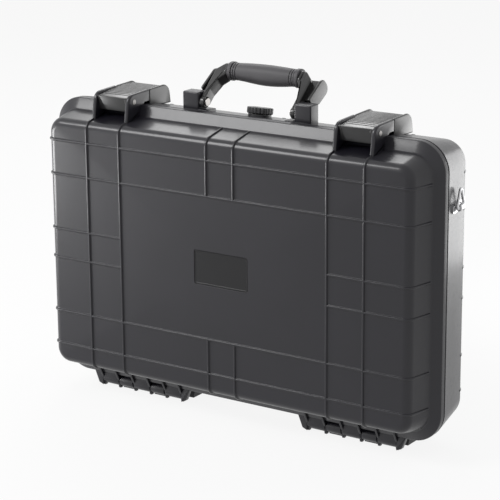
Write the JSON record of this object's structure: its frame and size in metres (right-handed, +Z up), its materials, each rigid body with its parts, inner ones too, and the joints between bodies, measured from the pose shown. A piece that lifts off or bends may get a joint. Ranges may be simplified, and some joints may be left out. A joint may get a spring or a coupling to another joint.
{
  "type": "tool case",
  "caption": "Upright waterproof hard case for tools, with a ribbed hinged lid, lever latches, a swinging carrying handle, a pressure valve, strap rings and moulded feet.",
  "frame": {"origin": "middle of the floor under the standing case, the bottom centre of its bounding box", "axes": "+Z up with the case standing on its feet, +X from left to right seen from the lid, -Y the way the lid faces and opens"},
  "size_m": [0.4566, 0.099, 0.3489],
  "materials": {
    "shell_black": "fine moulded grain, satin on the edges",
    "latch_black": "satin moulded plastic",
    "frame_black": "satin moulded plastic",
    "foot_black": "dull moulded plastic",
    "plate_black": "smooth satin",
    "valve_black": "satin moulded plastic",
    "grip_rubber": "soft matt",
    "seal_rubber": "soft matt",
    "pin_steel": "turned steel",
    "chrome": "bright plated"
  },
  "bodies": {
    "base": {"base_shell": "shell_black", "foot_left": "foot_black", "foot_right": "foot_black", "foot_screws": "pin_steel", "hinge_pin_left": "pin_steel", "hinge_pin_right": "pin_steel", "handle_pin_left": "pin_steel", "handle_pin_right": "pin_steel", "strap_bracket_left": "chrome", "strap_bracket_right": "chrome", "strap_screws": "chrome", "valve_body": "valve_black", "valve_seal": "seal_rubber", "valve_nut": "valve_black"},
    "lid": {"lid_shell": "shell_black", "lid_seal": "seal_rubber", "name_plate": "plate_black", "latch_pin_left": "pin_steel", "latch_pin_right": "pin_steel"},
    "handle": {"handle_frame": "frame_black", "handle_grip": "grip_rubber"},
    "valve_knob": {"valve_knob": "valve_black"},
    "latch_left": {"latch_lever_left": "latch_black", "claw_pin_left": "pin_steel"},
    "claw_left": {"latch_claw_left": "latch_black"},
    "strap_ring_left": {"strap_ring_left": "chrome"},
    "latch_right": {"latch_lever_right": "latch_black", "claw_pin_right": "pin_steel"},
    "claw_right": {"latch_claw_right": "latch_black"},
    "strap_ring_right": {"strap_ring_right": "chrome"}
  },
  "joints": [
    {"name": "lid_hinge", "type": "hinge", "parent": "base", "child": "lid", "pos_m": [0, -0.006, 0.008], "axis": [1, 0, 0], "range_deg": [0, 110]},
    {"name": "handle_hinge", "type": "hinge", "parent": "base", "child": "handle", "pos_m": [0, 0.004, 0.312], "axis": [1, 0, 0], "range_deg": [-29, 130]},
    {"name": "valve_turn", "type": "hinge", "parent": "base", "child": "valve_knob", "pos_m": [0, 0.022, 0.29992], "axis": [0, 0.1822, 0.9833], "range_deg": [0, 360]},
    {"name": "latch_hinge_left", "type": "hinge", "parent": "lid", "child": "latch_left", "pos_m": [-0.14, -0.024, 0.3095], "axis": [1, 0, 0], "range_deg": [0, 95]},
    {"name": "claw_hinge_left", "type": "hinge", "parent": "latch_left", "child": "claw_left", "pos_m": [-0.14, 0.011, 0.3112], "axis": [1, 0, 0], "range_deg": [0, 20]},
    {"name": "ring_hinge_left", "type": "hinge", "parent": "base", "child": "strap_ring_left", "pos_m": [-0.22436, 0.0168, 0.24], "axis": [-0.1822, -0.9833, 0], "range_deg": [0, 180]},
    {"name": "latch_hinge_right", "type": "hinge", "parent": "lid", "child": "latch_right", "pos_m": [0.14, -0.024, 0.3095], "axis": [1, 0, 0], "range_deg": [0, 95]},
    {"name": "claw_hinge_right", "type": "hinge", "parent": "latch_right", "child": "claw_right", "pos_m": [0.14, 0.011, 0.3112], "axis": [1, 0, 0], "range_deg": [0, 20]},
    {"name": "ring_hinge_right", "type": "hinge", "parent": "base", "child": "strap_ring_right", "pos_m": [0.22436, 0.0168, 0.24], "axis": [-0.1822, 0.9833, 0], "range_deg": [0, 180]}
  ],
  "couplings": [
    {"joint": "claw_hinge_left", "follows": "latch_hinge_left", "ratio": 0.21053},
    {"joint": "claw_hinge_right", "follows": "latch_hinge_right", "ratio": 0.21053}
  ]
}
